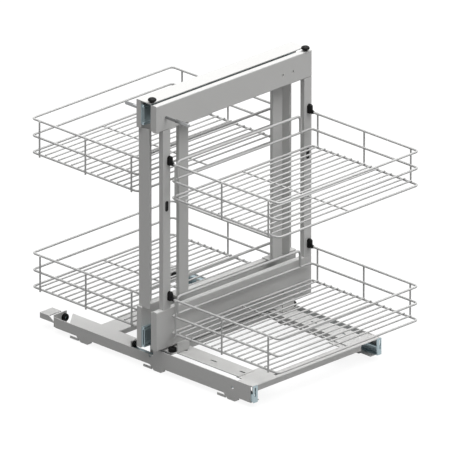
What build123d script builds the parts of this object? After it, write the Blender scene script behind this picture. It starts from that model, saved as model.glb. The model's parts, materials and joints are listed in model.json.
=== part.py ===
from build123d import *
import os

# Blind corner pull-out organizer: a base on the cabinet floor, a carriage that slides along it, a front
# frame that pulls out of the carriage, and four wire baskets. Millimetres. x runs along the cabinet's
# width with the door side at +x, y along its depth with the user at -y, z up. The sizes below are measured
# from the floor at the middle of the two rails. Each piece is saved with the origin on the floor, below the
# middle of the two frames and their baskets.

# Sheet metal and clearances
sheet = 2.0                # wall of the folded steel pieces
bend = 2.6                 # outer bend radius of the folded pieces
run_gap = 0.4              # gap between a sliding piece and its guide
pass_gap = 1.0             # height of the carriage's feet over the base
rubber_gap = 0.3           # gap between a rubber buffer and what it stops
hole_gap = 0.05            # radial gap round a rivet, a screw or a wire's end

# Base rails
base_length = 600.0        # along x, over the rails and the right cross-member
rail_end_gap = 6.0         # a rail's right end stands back by this
base_depth = 392.0         # over the rails' outer faces
foot_height = 10.0         # height of the pressed feet
low_height = 24.0          # of a rail, left of tall_start
tall_height = 40.0         # of a rail, right of tall_start
tall_start = 0.0
lip_width = 26.0           # bottom flange of a rail
cover_width = 45.0         # top flange of a rail's low part
near_cover_left = -291.0
near_cover_corner = 35.0   # cut away at its left end, in front of the end buffer
far_cover_left = -183.0
cover_right = -69.0
hump_first = -234.0        # left end of the first pressed foot
hump_pitch = 224.0
hump_count = 3
hump_length = 45.0
hump_floor = 21.0          # length of its flat on the floor
sole_width = 14.0          # of the plate that the foot stands on
tongue_length = 25.0       # small tongue left of each foot
tongue_height = 5.0
tongue_rise = 1.0
floor_hole = 4.0           # for the screws into the cabinet's floor
floor_holes_x = (-275.0, 225.0)
floor_hole_inset = 18.0    # from a rail's outer face
tab_length = 46.5          # fixing tab past a rail's left end
tab_width = 38.0
tab_height = 13.0
tab_notch_left = 19.0      # from the rail's left end
tab_notch_right = 4.0
tab_notch_depth = 11.0
end_plate_width = 38.0
end_plate_top = 40.0
web_hole = 6.5
web_hole_z = 30.0
web_holes_x = (-10.0, 240.0)
guide_hole_drop = 4.0      # of the guide rails' holes below those in the rails

# Guide rails and runners between the base and the carriage
guide_height = 20.0
guide_depth = 12.0
guide_wall = 1.5
near_guide_left = -256.0
far_guide_left = -298.0
guide_right = 303.0
guide_slot_y = (2.5, 6.5)  # slot in a guide's end plate, from its outer face
guide_slot_z = (26.0, 46.0)
guide_rivets_x = (-236.0, -74.0, 88.0, 250.0)
runner_length = 280.0
runner_right = 30.0        # right end of a runner with the carriage at rest
runner_thickness = 7.5
boss_height = 12.0
slot_width = 18.0          # slot in a rail's tall part, for the leg of a foot
slot_right = 250.0

# Plates and cross-members that join the two rails
top_plate_width = 47.0
top_plate_lip = 16.0
top_plate_right = 239.0
plate_slot_length = 18.0
plate_slot_width = 5.0
plate_slot_first = 53.0
plate_slot_pitch = 87.0
cross_left_x = -205.0
cross_left_width = 54.0
cross_left_height = 12.0
cross_mid_x = -29.0
cross_mid_width = 55.0
cross_height = 14.0
cross_right_width = 26.0
cross_slot_width = 8.0
cross_slot_near = -116.0
cross_slot_far = 134.0
cross_sides_far = 135.0     # the right cross-member's folded sides end here
gusset_width = 42.0
gusset_inner = 98.0        # from the middle of the base

# Rubber buffers
end_buffer_diameter = 17.5
end_buffer_inset = 30.0    # its centre, from a rail's outer face
end_buffer_z = 27.0
end_buffer_length = 7.0
rest_buffer_diameter = 13.0
rest_buffer_inset = 11.0
rest_buffer_drop = 2.0     # of its underside, below the top flange
buffer_length = 6.0
rest_lug_width = 18.0
rest_lug_height = 12.0

# Carriage
carriage_x = -29.0         # back face of its beams
frame_near = -216.0        # near end of the beams and bars
frame_length = 470.0
low_beam_z = 53.0
low_beam_height = 94.0
beam_depth = 13.0          # of a beam's section, behind the slide
top_beam_z = 560.0
top_beam_height = 64.0
roof_width = 42.0          # top plate of the upper beam
outer_post_near = 5.0      # from the beams' near end
outer_post_far = 41.0      # from their far end
outer_post_depth = 34.0
outer_post_width = 38.0
inner_post_near = 95.4
inner_post_far = 90.0
inner_post_width = 30.4
inner_post_x = -5.0
inner_post_depth = 8.0

# Feet of the carriage
foot_right = 56.0
foot_outset = 6.0          # from a rail's outer face to the foot plate
foot_reach = 54.0
leg_left = -2.0
leg_width = 28.0
leg_gap = 1.0              # from a guide rail to the leg
stop_inset = 10.0          # from the rail's inner face, beside most of the rest buffer
stop_width = 6.0
lug_width = 35.0
lug_height = 23.0
catch_diameter = 18.5
catch_height = 9.0
catch_inset = 14.0
foot_screw_x = -23.0
foot_screws_inset = (24.0, 46.0)
foot_screw_diameter = 5.0
foot_screw_head = 9.0
foot_screw_head_height = 3.0

# Telescopic slides between the carriage and the front frame
slide_height = 46.0
slide_depth = 9.0
slide_wall = 1.5
slide_near = 1.0           # from the beams' near end
slide_far = 19.0           # from their far end
top_slide_z = 592.0
low_slide_z = 79.5
carrier_height = 30.0
carrier_inset = 45.0       # from both ends of the beams
rivet_diameter = 5.0
rivet_head = 8.0
rivet_head_height = 2.0
slide_rivet_inset = 39.0   # from both ends of the slide
slide_rivet_count = 4

# Front frame
front_x = 31.0             # outer face of its bars
bar_flange = 12.0
bar_end_flange = 17.0
low_bar_z = 57.0
low_bar_height = 90.0
top_bar_z = 560.0
top_bar_height = 62.0
front_post_near = 20.0     # from the bars' near end
front_post_far = 22.0      # from their far end
front_post_width = 22.0
front_post_depth = 12.0
front_post_wall = 1.5
bar_hole = 7.0
bar_holes_far = (88.0, 57.0)   # from the bars' far end
bar_hole_rise = 27.0

# Baskets, measured between wire centres
basket_width = 322.0       # along x
basket_depth = 424.0       # along y
basket_height = 78.0       # bottom rim to top rim
basket_gap = 8.0           # from a post's face to the wires next to it
basket_corner = 9.0
rim_wire = 5.0
upright_wire = 4.0
floor_wire = 3.8
floor_pitch = 20.0
floor_margin = 19.0        # least distance from the basket's sides to its floor wires
weld = 0.6                 # depth that two welded wires sink into each other
hoop_wire = 6.0
hoop_near = 17.0           # from the basket's near side
hoop_far = 34.0            # from its far side
hoop_corner = 10.0
upright_near = 15.0        # first upright, from the frame side
upright_outer = 27.0       # last upright, from the outer side
upright_foot = 4.0
low_basket_z = 93.0
basket_pitch = 312.0
front_basket_inset = 38.0  # from the beams' near end
rear_basket_inset = 11.0

# Small fittings
clip_width = 11.0
clip_height = 16.5
clip_depth = 9.0
clip_base = 1.0            # underside of the clip's body, over the wire's centre less the arm
clip_arm_depth = 16.0
clip_arm_height = 9.0
clip_insert = 10.0         # depth that a rim's end goes into its clip
cap_length = 6.0           # caps on the rims' ends inside the outer posts
cap_height = 9.0
cap_limits = (-3.5, 6.0)   # of a cap along y, from the rim's end
plug_width = 9.0
plug_height = 24.0
plug_lip = 1.0
plug_z = 385.0
knob_diameter = 19.0
knob_neck = 8.0
knob_neck_height = 2.5
knob_height = 8.0
near_knob_x = 9.8          # on the carriage's upper beam
near_knob_inset = 8.7
far_knob_x = 25.5          # on the front frame's upper bar
far_knob_inset = 13.5
peg_diameter = 8.0
front_peg_length = 70.0
rear_peg_length = 62.0
peg_spigot = 5.0
peg_inset = 29.0           # from the beams' near end
peg_z = 590.0

# Faces and levels that follow from the sizes above
rail_y = base_depth / 2
half_length = base_length / 2
rail_z = foot_height
floor_z = rail_z + sheet
low_top = rail_z + low_height
tall_top = rail_z + tall_height
guide_y = rail_y - sheet
guide_inner = guide_y - guide_depth
guide_z = floor_z + guide_height / 2
slot_inner = guide_y - slot_width
plate_inner = slot_inner - top_plate_width
leg_y = guide_inner - leg_gap
foot_z = tall_top + pass_gap
frame_far = frame_near + frame_length
beam_x = carriage_x + beam_depth
slide_length = frame_length - slide_near - slide_far
slide_rivets_y = [frame_near + slide_near + slide_rivet_inset
                  + number * (slide_length - 2 * slide_rivet_inset) / (slide_rivet_count - 1)
                  for number in range(slide_rivet_count)]
carrier_length = frame_length - 2 * carrier_inset
middle_height = slide_height - 2 * slide_wall - 2 * run_gap
inner_height = middle_height - 2 * slide_wall - 2 * run_gap
carrier_x = beam_x + slide_depth
low_beam_top_z = low_beam_z + low_beam_height
top_beam_top_z = top_beam_z + top_beam_height
stop_x = cover_right + buffer_length + rubber_gap
upper_basket_z = low_basket_z + basket_pitch
rim_levels = (low_basket_z + basket_height, upper_basket_z + basket_height)
front_basket_x = front_x + basket_gap
rear_basket_x = carriage_x - basket_gap
front_basket_y = frame_near + front_basket_inset
rear_basket_y = frame_near + rear_basket_inset
hump_slope = (hump_length - hump_floor) / 2

os.makedirs("parts", exist_ok=True)


def save(piece, name):
    """Label a finished piece and write it under its name, measured from the middle of the two frames."""
    placed = piece.part.moved(Location((-(carriage_x + front_x) / 2, -(frame_near + frame_far) / 2, 0)))
    placed.label = name
    export_step(placed, f"parts/{name}.step")


def block(x, y, z, mode=Mode.ADD):
    """A block in the part in hand, given its limits along each axis."""
    with Locations(((x[0] + x[1]) / 2, (y[0] + y[1]) / 2, (z[0] + z[1]) / 2)):
        Box(abs(x[1] - x[0]), abs(y[1] - y[0]), abs(z[1] - z[0]), mode=mode)


def folded_sheet(plane, points, length, wall=sheet, radius=bend):
    """A folded sheet in the part in hand. The points run along its outer face, with the sheet on their left."""
    with BuildSketch(plane) as profile:
        with BuildLine():
            outline = FilletPolyline(*points, radius=radius)
            offset(outline, amount=wall, side=Side.LEFT)
        make_face()
    extrude(profile.sketch, amount=length)


def rod(point, axis, diameter, length, mode=Mode.ADD):
    """A round rod in the part in hand, or a bore where the mode subtracts it."""
    with BuildSketch(Plane(origin=point, z_dir=axis)) as section:
        Circle(diameter / 2)
    extrude(section.sketch, amount=length, mode=mode)


def wire(points, diameter, radius, close=False):
    """A bent wire in the part in hand, through the given corner points."""
    with BuildLine() as path:
        FilletPolyline(*points, radius=radius, close=close)
    with BuildSketch(Plane(origin=path.line @ 0, z_dir=path.line % 0)) as section:
        Circle(diameter / 2)
    sweep(section.sketch, path=path.line)


# Base rails, near side first; every far piece is the near one mirrored across the middle of the base
def hump_outline(left):
    """Side view of one pressed foot, in x and z, from its left end."""
    return ((left, floor_z), (left, rail_z), (left + hump_slope, 0), (left + hump_slope + hump_floor, 0),
            (left + hump_length, rail_z), (left + hump_length, floor_z))


humps_x = [hump_first + number * hump_pitch for number in range(hump_count)]


def base_rail(cover_left):
    """The near rail in the part in hand, given where its top flange starts."""
    lip_y = -rail_y + lip_width
    folded_sheet(Plane.YZ.offset(-half_length), ((-rail_y, low_top), (-rail_y, rail_z), (lip_y, rail_z)),
                 half_length + tall_start)
    folded_sheet(Plane.YZ.offset(tall_start), ((-rail_y, tall_top), (-rail_y, rail_z), (lip_y, rail_z)),
                 half_length - rail_end_gap - tall_start)
    # Top flange of the low part, and the upturned lug that carries the rest buffer
    cover_z = low_top - sheet
    block((cover_left, cover_right), (-rail_y, -rail_y + cover_width), (cover_z, low_top))
    block((cover_right - sheet, cover_right), (-guide_y, -guide_y + rest_lug_width),
          (cover_z, low_top + rest_lug_height))
    # Fixing tab past the left end, notched at its top, and the end plate that carries the end buffer
    tab_left = -half_length - tab_length
    block((tab_left, -half_length), (-rail_y, -guide_y), (low_top - tab_height, low_top))
    block((tab_left, -half_length - tab_notch_left), (-rail_y, -rail_y + tab_width), (cover_z, low_top))
    with BuildSketch(Plane.XZ.offset(guide_y)) as notch:
        with BuildLine():
            Polyline((-half_length - tab_notch_left, low_top), (-half_length - tab_notch_right, low_top),
                     (-half_length - tab_notch_right, low_top - tab_notch_depth), close=True)
        make_face()
    extrude(notch.sketch, amount=sheet, mode=Mode.SUBTRACT)
    block((-half_length - tab_notch_right, -half_length - sheet), (-rail_y, -rail_y + end_plate_width),
          (rail_z + sheet, end_plate_top))
    # Pressed feet, each with a sole and a small tongue
    for hump_x in humps_x:
        with BuildSketch(Plane.XZ.offset(guide_y)) as side_view:
            with BuildLine():
                Polyline(*hump_outline(hump_x), close=True)
            make_face()
            with Locations((hump_x - tongue_length / 2 + tongue_height, tongue_rise + tongue_height / 2)):
                Rectangle(tongue_length, tongue_height)
        extrude(side_view.sketch, amount=sheet)
        sole_x = (hump_x + hump_slope, hump_x + hump_slope + hump_floor)
        block(sole_x, (-rail_y, -rail_y + sole_width), (0, sheet))
    for hole_x in floor_holes_x:
        rod((hole_x, -rail_y + floor_hole_inset, rail_z), (0, 0, 1), floor_hole, sheet, mode=Mode.SUBTRACT)
    for hole_x in web_holes_x:
        rod((hole_x, -rail_y, web_hole_z), (0, 1, 0), web_hole, sheet, mode=Mode.SUBTRACT)
    for rivet_x in guide_rivets_x:
        rod((rivet_x, -guide_y + guide_depth / 2, rail_z), (0, 0, 1), rivet_diameter + 2 * hole_gap, sheet,
            mode=Mode.SUBTRACT)


with BuildPart() as near_rail:
    base_rail(near_cover_left)
    with BuildSketch(Plane.XY.offset(low_top - sheet)) as corner:
        with BuildLine():
            Polyline((near_cover_left, -rail_y + cover_width), (near_cover_left, -guide_y),
                     (near_cover_left + near_cover_corner, -guide_y), close=True)
        make_face()
    extrude(corner.sketch, amount=sheet, mode=Mode.SUBTRACT)
save(near_rail, "near_rail")

with BuildPart() as far_rail_unturned:
    base_rail(far_cover_left)

with BuildPart() as far_rail:
    mirror(far_rail_unturned.part, about=Plane.XZ)
save(far_rail, "far_rail")


def guide_rail(left):
    """The near guide rail in the part in hand, given its left end. A taller end plate closes its right end."""
    guide_outline = ((-guide_inner, floor_z + guide_height), (-guide_y, floor_z + guide_height),
                     (-guide_y, floor_z), (-guide_inner, floor_z))
    folded_sheet(Plane.YZ.offset(left), guide_outline, guide_right - left, guide_wall, 2 * guide_wall)
    block((half_length, guide_right), (-guide_y, -guide_inner), (floor_z, tall_top))
    block((half_length, guide_right), [-guide_y + slot_y for slot_y in guide_slot_y], guide_slot_z,
          mode=Mode.SUBTRACT)
    for hole_x in web_holes_x:
        rod((hole_x, -guide_y, web_hole_z - guide_hole_drop), (0, 1, 0), web_hole, guide_wall, mode=Mode.SUBTRACT)
    for rivet_x in guide_rivets_x:
        rod((rivet_x, -guide_y + guide_depth / 2, floor_z), (0, 0, 1), rivet_diameter + 2 * hole_gap,
            guide_wall, mode=Mode.SUBTRACT)


with BuildPart() as near_guide_rail:
    guide_rail(near_guide_left)
save(near_guide_rail, "near_guide_rail")

with BuildPart() as far_guide_unturned:
    guide_rail(far_guide_left)

with BuildPart() as far_guide_rail:
    mirror(far_guide_unturned.part, about=Plane.XZ)
save(far_guide_rail, "far_guide_rail")

with BuildPart() as guide_rivets:
    for rivet_x in guide_rivets_x:
        rivet_y = -guide_y + guide_depth / 2
        rod((rivet_x, rivet_y, rail_z - rivet_head_height), (0, 0, 1), rivet_head, rivet_head_height)
        rod((rivet_x, rivet_y, rail_z), (0, 0, 1), rivet_diameter, sheet + guide_wall)
    mirror(about=Plane.XZ)
save(guide_rivets, "guide_rivets")

# Plates beside the rails' slots
with BuildPart() as near_top_plate:
    block((0, top_plate_right), (-slot_inner, -plate_inner), (tall_top - sheet, tall_top))
    block((cross_mid_x + cross_mid_width + pass_gap, half_length - cross_right_width - gusset_width - pass_gap),
          (-plate_inner - sheet, -plate_inner), (tall_top - top_plate_lip, tall_top))
    for number in range(3):
        with BuildSketch(Plane.XY.offset(tall_top - sheet)) as slot:
            with Locations((plate_slot_first + number * plate_slot_pitch, -(slot_inner + plate_inner) / 2)):
                SlotOverall(plate_slot_length, plate_slot_width)
        extrude(slot.sketch, amount=sheet, mode=Mode.SUBTRACT)
save(near_top_plate, "near_top_plate")

with BuildPart() as far_top_plate:
    mirror(near_top_plate.part, about=Plane.XZ)
save(far_top_plate, "far_top_plate")

# Cross-members
with BuildPart() as left_cross_member:
    cover_inner = rail_y - cover_width
    left_ends = (cross_left_x, cross_left_x + cross_left_width)
    left_outline = ((left_ends[0], low_top - cross_left_height), (left_ends[0], low_top),
                    (left_ends[1], low_top), (left_ends[1], low_top - cross_left_height))
    folded_sheet(Plane.XZ.offset(-cover_inner), left_outline[::-1], 2 * cover_inner)
save(left_cross_member, "left_cross_member")

with BuildPart() as middle_cross_member:
    mid_ends = (cross_mid_x, cross_mid_x + cross_mid_width)
    mid_top = tall_top - sheet
    mid_outline = ((mid_ends[0], mid_top - cross_height), (mid_ends[0], mid_top),
                   (mid_ends[1], mid_top), (mid_ends[1], mid_top - cross_height))
    folded_sheet(Plane.XZ.offset(-slot_inner), mid_outline[::-1], 2 * slot_inner)
    for end_y in (-slot_inner, slot_inner - sheet):
        block(mid_ends, (end_y, end_y + sheet), (floor_z, mid_top))
save(middle_cross_member, "middle_cross_member")

with BuildPart() as right_cross_member:
    right_ends = (half_length - cross_right_width, half_length)
    right_outline = ((right_ends[0], tall_top - cross_height), (right_ends[0], tall_top),
                     (right_ends[1], tall_top), (right_ends[1], tall_top - cross_height))
    folded_sheet(Plane.XZ.offset(-guide_y), right_outline[::-1], 2 * guide_y)
    with BuildSketch(Plane.XY.offset(tall_top - sheet)) as slot:
        with Locations(((right_ends[0] + right_ends[1]) / 2, (cross_slot_near + cross_slot_far) / 2)):
            SlotOverall(cross_slot_far - cross_slot_near, cross_slot_width, rotation=90)
    extrude(slot.sketch, amount=sheet, mode=Mode.SUBTRACT)
    block(right_ends, (cross_sides_far, guide_y), (tall_top - cross_height, tall_top - sheet), mode=Mode.SUBTRACT)
    # Corner gussets that the top plates rest on
    gusset_z = (tall_top - 2 * sheet, tall_top - sheet)
    for side in (-1, 1):
        block((slot_right, right_ends[0]), (side * guide_y, side * slot_inner), gusset_z)
        block((right_ends[0] - gusset_width, right_ends[0]), (side * slot_inner, side * gusset_inner), gusset_z)
save(right_cross_member, "right_cross_member")

# Rubber buffers of the base
with BuildPart() as end_bumpers:
    rod((-half_length - sheet, -rail_y + end_buffer_inset, end_buffer_z), (1, 0, 0), end_buffer_diameter,
        end_buffer_length)
    mirror(about=Plane.XZ)
save(end_bumpers, "end_bumpers")

with BuildPart() as rest_buffers:
    rod((cover_right, -rail_y + rest_buffer_inset, low_top - rest_buffer_drop + rest_buffer_diameter / 2), (1, 0, 0),
        rest_buffer_diameter, buffer_length)
    mirror(about=Plane.XZ)
save(rest_buffers, "rest_buffers")

# Runners and feet of the carriage
with BuildPart() as near_runner:
    runner_y = -guide_y + guide_wall + 1.0
    runner_rise = guide_height / 2 - guide_wall - run_gap
    block((runner_right - runner_length, runner_right), (runner_y, runner_y + runner_thickness),
          (guide_z - runner_rise, guide_z + runner_rise))
    block((leg_left, leg_left + leg_width), (runner_y + runner_thickness, -leg_y),
          (guide_z - boss_height / 2, guide_z + boss_height / 2))
save(near_runner, "near_runner")

with BuildPart() as far_runner:
    mirror(near_runner.part, about=Plane.XZ)
save(far_runner, "far_runner")

with BuildPart() as near_foot:
    foot_outer = -rail_y + foot_outset
    foot_inner = -rail_y + foot_reach
    block((stop_x, foot_right), (foot_outer, foot_inner), (foot_z, foot_z + sheet))
    block((leg_left, leg_left + leg_width), (-leg_y, -leg_y + sheet), (guide_z - boss_height / 2, foot_z))
    block((foot_right - sheet, foot_right), (foot_inner - lug_width, foot_inner), (foot_z, foot_z + lug_height))
    block((stop_x, stop_x + sheet), (-guide_y + stop_inset, -guide_y + stop_inset + stop_width),
          (low_top - pass_gap, foot_z))
    for screw_inset in foot_screws_inset:
        rod((foot_screw_x, -rail_y + screw_inset, foot_z), (0, 0, 1), foot_screw_diameter + 2 * hole_gap, sheet,
            mode=Mode.SUBTRACT)
save(near_foot, "near_foot")

with BuildPart() as far_foot:
    mirror(near_foot.part, about=Plane.XZ)
save(far_foot, "far_foot")

with BuildPart() as foot_buffers:
    rod((foot_right - sheet - catch_diameter / 2, -rail_y + catch_inset, foot_z + sheet), (0, 0, 1),
        catch_diameter, catch_height)
    mirror(about=Plane.XZ)
save(foot_buffers, "foot_buffers")

with BuildPart() as foot_screws:
    for screw_inset in foot_screws_inset:
        rod((foot_screw_x, -rail_y + screw_inset, foot_z), (0, 0, 1), foot_screw_diameter, 2 * sheet)
        rod((foot_screw_x, -rail_y + screw_inset, foot_z + 2 * sheet), (0, 0, 1), foot_screw_head,
            foot_screw_head_height)
    mirror(about=Plane.XZ)
save(foot_screws, "foot_screws")

# Beams of the carriage

def beam_fittings(base_z, top_z, slide_z):
    """The closed ends of a beam in the part in hand, and the holes for its slide's rivets."""
    for end_y in (frame_near, frame_far - sheet):
        block((carriage_x, beam_x - sheet), (end_y, end_y + sheet), (base_z + sheet, top_z - sheet))
    for rivet_y in slide_rivets_y:
        rod((beam_x - sheet, rivet_y, slide_z), (1, 0, 0), rivet_diameter + 2 * hole_gap, sheet,
            mode=Mode.SUBTRACT)


with BuildPart() as carriage_bottom_beam:
    low_beam_outline = ((carriage_x, low_beam_z), (beam_x, low_beam_z), (beam_x, low_beam_top_z),
                        (carriage_x, low_beam_top_z))
    folded_sheet(Plane.XZ.offset(-frame_far), low_beam_outline, frame_length)
    beam_fittings(low_beam_z, low_beam_top_z, low_slide_z)
    for side in (-1, 1):
        for screw_inset in foot_screws_inset:
            rod((foot_screw_x, side * (rail_y - screw_inset), low_beam_z), (0, 0, 1),
                foot_screw_diameter + 2 * hole_gap, sheet, mode=Mode.SUBTRACT)
save(carriage_bottom_beam, "carriage_bottom_beam")

with BuildPart() as carriage_top_beam:
    top_beam_outline = ((carriage_x, top_beam_z), (beam_x, top_beam_z), (beam_x, top_beam_top_z - sheet))
    folded_sheet(Plane.XZ.offset(-frame_far), top_beam_outline, frame_length)
    block((carriage_x, carriage_x + roof_width), (frame_near, frame_far), (top_beam_top_z - sheet, top_beam_top_z))
    beam_fittings(top_beam_z, top_beam_top_z, top_slide_z)
    rod((beam_x - sheet, frame_near + peg_inset, peg_z), (1, 0, 0), peg_spigot + 2 * hole_gap, sheet,
        mode=Mode.SUBTRACT)
save(carriage_top_beam, "carriage_top_beam")


# Posts of the carriage
def outer_post(corner_y, rim_end_y):
    """An angle section in the part in hand, with two holes for the ends of the rear baskets' rims."""
    outline = ((carriage_x, corner_y + outer_post_width), (carriage_x, corner_y),
               (carriage_x + outer_post_depth, corner_y))
    folded_sheet(Plane.XY.offset(low_beam_top_z), outline, top_beam_z - low_beam_top_z)
    for rim_level in rim_levels:
        rod((carriage_x, rim_end_y, rim_level), (1, 0, 0), rim_wire + 2 * hole_gap, sheet, mode=Mode.SUBTRACT)


def inner_post(near_y):
    """A channel section in the part in hand, open to the back, with end plates that reach the beams."""
    outline = ((inner_post_x, near_y), (inner_post_x + inner_post_depth, near_y),
               (inner_post_x + inner_post_depth, near_y + inner_post_width),
               (inner_post_x, near_y + inner_post_width))
    folded_sheet(Plane.XY.offset(low_beam_top_z), outline, top_beam_z - low_beam_top_z)
    for plate_z in (low_beam_top_z, top_beam_z - sheet):
        block((carriage_x, inner_post_x + inner_post_depth), (near_y, near_y + inner_post_width),
              (plate_z, plate_z + sheet))


with BuildPart() as near_outer_post:
    outer_post(frame_near + outer_post_near, rear_basket_y)
save(near_outer_post, "near_outer_post")

with BuildPart() as far_outer_post:
    outer_post(frame_far - outer_post_far, rear_basket_y + basket_depth)
save(far_outer_post, "far_outer_post")

with BuildPart() as near_inner_post:
    inner_post(frame_near + inner_post_near)
save(near_inner_post, "near_inner_post")

with BuildPart() as far_inner_post:
    inner_post(frame_far - inner_post_far)
save(far_inner_post, "far_inner_post")


# Telescopic slides: an outer section on the carriage, a middle one, and an inner one with its carrier on
# the front frame
def channel(x_closed, x_open, z_middle, height, near_y, length):
    """A C section in the part in hand, along y, closed at one x and open at the other."""
    upper_z = z_middle + height / 2
    lower_z = z_middle - height / 2
    outline = [(x_open, upper_z), (x_closed, upper_z), (x_closed, lower_z), (x_open, lower_z)]
    if x_closed > x_open:
        outline.reverse()
    folded_sheet(Plane.XZ.offset(-near_y - length), outline, length, slide_wall, 2 * slide_wall)


def slide_outer(z_middle):
    """The outer section, riveted to a beam."""
    channel(beam_x, carrier_x, z_middle, slide_height, frame_near + slide_near, slide_length)
    for rivet_y in slide_rivets_y:
        rod((beam_x, rivet_y, z_middle), (1, 0, 0), rivet_diameter + 2 * hole_gap, slide_wall,
            mode=Mode.SUBTRACT)


def slide_middle(z_middle):
    """The middle section, which runs inside the outer one."""
    channel(beam_x + slide_wall + 1.0, carrier_x - 0.5, z_middle, middle_height, frame_near + slide_near,
            slide_length)


def slide_inner(z_middle):
    """The inner section, which runs inside the middle one and faces it."""
    channel(carrier_x, beam_x + 2 * slide_wall + 1.5, z_middle, inner_height, frame_near + slide_near,
            slide_length)


def slide_carrier(z_middle):
    """The square tube that joins an inner section to a bar of the front frame."""
    near_y = frame_near + carrier_inset
    limits_x = (carrier_x, front_x - sheet)
    rise = carrier_height / 2
    block(limits_x, (near_y, near_y + carrier_length), (z_middle - rise, z_middle + rise))
    block((limits_x[0] + sheet, limits_x[1] - sheet), (near_y, near_y + carrier_length),
          (z_middle - rise + sheet, z_middle + rise - sheet), mode=Mode.SUBTRACT)


with BuildPart() as top_slide_outer:
    slide_outer(top_slide_z)
save(top_slide_outer, "top_slide_outer")

with BuildPart() as bottom_slide_outer:
    slide_outer(low_slide_z)
save(bottom_slide_outer, "bottom_slide_outer")

with BuildPart() as top_slide_middle:
    slide_middle(top_slide_z)
save(top_slide_middle, "top_slide_middle")

with BuildPart() as bottom_slide_middle:
    slide_middle(low_slide_z)
save(bottom_slide_middle, "bottom_slide_middle")

with BuildPart() as top_slide_inner:
    slide_inner(top_slide_z)
save(top_slide_inner, "top_slide_inner")

with BuildPart() as bottom_slide_inner:
    slide_inner(low_slide_z)
save(bottom_slide_inner, "bottom_slide_inner")

with BuildPart() as top_slide_carrier:
    slide_carrier(top_slide_z)
save(top_slide_carrier, "top_slide_carrier")

with BuildPart() as bottom_slide_carrier:
    slide_carrier(low_slide_z)
save(bottom_slide_carrier, "bottom_slide_carrier")

with BuildPart() as slide_rivets:
    for rivet_z in (top_slide_z, low_slide_z):
        for rivet_y in slide_rivets_y:
            rod((beam_x - sheet - rivet_head_height, rivet_y, rivet_z), (1, 0, 0), rivet_head,
                rivet_head_height)
            rod((beam_x - sheet, rivet_y, rivet_z), (1, 0, 0), rivet_diameter, sheet + slide_wall)
save(slide_rivets, "slide_rivets")


# Bars and posts of the front frame
def front_bar(base_z, height):
    """A tray section in the part in hand, open to the back, with its two ends closed."""
    back_x = front_x - bar_flange
    outline = ((back_x, base_z), (front_x, base_z), (front_x, base_z + height), (back_x, base_z + height))
    folded_sheet(Plane.XZ.offset(-frame_far), outline, frame_length)
    for end_y in (frame_near, frame_far - sheet):
        block((front_x - bar_end_flange, front_x - sheet), (end_y, end_y + sheet), (base_z + sheet,
              base_z + height - sheet))


with BuildPart() as front_top_bar:
    front_bar(top_bar_z, top_bar_height)
    for hole_inset in bar_holes_far:
        rod((front_x - sheet, frame_far - hole_inset, top_bar_z + bar_hole_rise), (1, 0, 0), bar_hole, sheet,
            mode=Mode.SUBTRACT)
    rod((front_x - sheet, frame_near + peg_inset, peg_z), (1, 0, 0), peg_spigot + 2 * hole_gap, sheet,
        mode=Mode.SUBTRACT)
save(front_top_bar, "front_top_bar")

with BuildPart() as front_bottom_bar:
    front_bar(low_bar_z, low_bar_height)
    rod((front_x - sheet, frame_far - bar_holes_far[0], low_bar_z + bar_hole_rise), (1, 0, 0), bar_hole,
        sheet, mode=Mode.SUBTRACT)
save(front_bottom_bar, "front_bottom_bar")

low_bar_top = low_bar_z + low_bar_height
front_posts_y = (frame_near + front_post_near, frame_far - front_post_far)


def front_post(near_y):
    """A tube in the part in hand, from the lower bar to the upper one, with the plug's hole in its face."""
    limits_x = (front_x - front_post_depth, front_x)
    block(limits_x, (near_y, near_y + front_post_width), (low_bar_top, top_bar_z))
    block((limits_x[0] + front_post_wall, limits_x[1] - front_post_wall),
          (near_y + front_post_wall, near_y + front_post_width - front_post_wall), (low_bar_top, top_bar_z),
          mode=Mode.SUBTRACT)
    with BuildSketch(Plane.YZ.offset(front_x - front_post_wall)) as hole:
        with Locations((near_y + front_post_width / 2, plug_z)):
            SlotOverall(plug_height - 2 * plug_lip, plug_width - 2 * plug_lip, rotation=90)
    extrude(hole.sketch, amount=front_post_wall, mode=Mode.SUBTRACT)


with BuildPart() as near_front_post:
    front_post(front_posts_y[0])
save(near_front_post, "near_front_post")

with BuildPart() as far_front_post:
    front_post(front_posts_y[1])
save(far_front_post, "far_front_post")

with BuildPart() as front_post_plugs:
    for post_y in front_posts_y:
        plug_y = post_y + front_post_width / 2
        with BuildSketch(Plane.YZ.offset(front_x - front_post_wall)) as stem:
            with Locations((plug_y, plug_z)):
                SlotOverall(plug_height - 2 * plug_lip - 2 * hole_gap, plug_width - 2 * plug_lip - 2 * hole_gap,
                            rotation=90)
        extrude(stem.sketch, amount=front_post_wall)
        with BuildSketch(Plane.YZ.offset(front_x)) as face:
            with Locations((plug_y, plug_z)):
                SlotOverall(plug_height, plug_width, rotation=90)
        extrude(face.sketch, amount=plug_lip)
save(front_post_plugs, "front_post_plugs")

# Pegs and knobs
with BuildPart() as front_peg:
    rod((front_x - sheet, frame_near + peg_inset, peg_z), (1, 0, 0), peg_spigot, sheet)
    rod((front_x, frame_near + peg_inset, peg_z), (1, 0, 0), peg_diameter, front_peg_length)
    chamfer(front_peg.faces().sort_by(Axis.X)[-1].edges(), peg_diameter / 6)
save(front_peg, "front_peg")

with BuildPart() as rear_peg:
    rod((beam_x, frame_near + peg_inset, peg_z), (-1, 0, 0), peg_spigot, sheet)
    rod((beam_x - sheet, frame_near + peg_inset, peg_z), (-1, 0, 0), peg_diameter,
        beam_depth - sheet + rear_peg_length)
    chamfer(rear_peg.faces().sort_by(Axis.X)[0].edges(), peg_diameter / 6)
save(rear_peg, "rear_peg")


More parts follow.
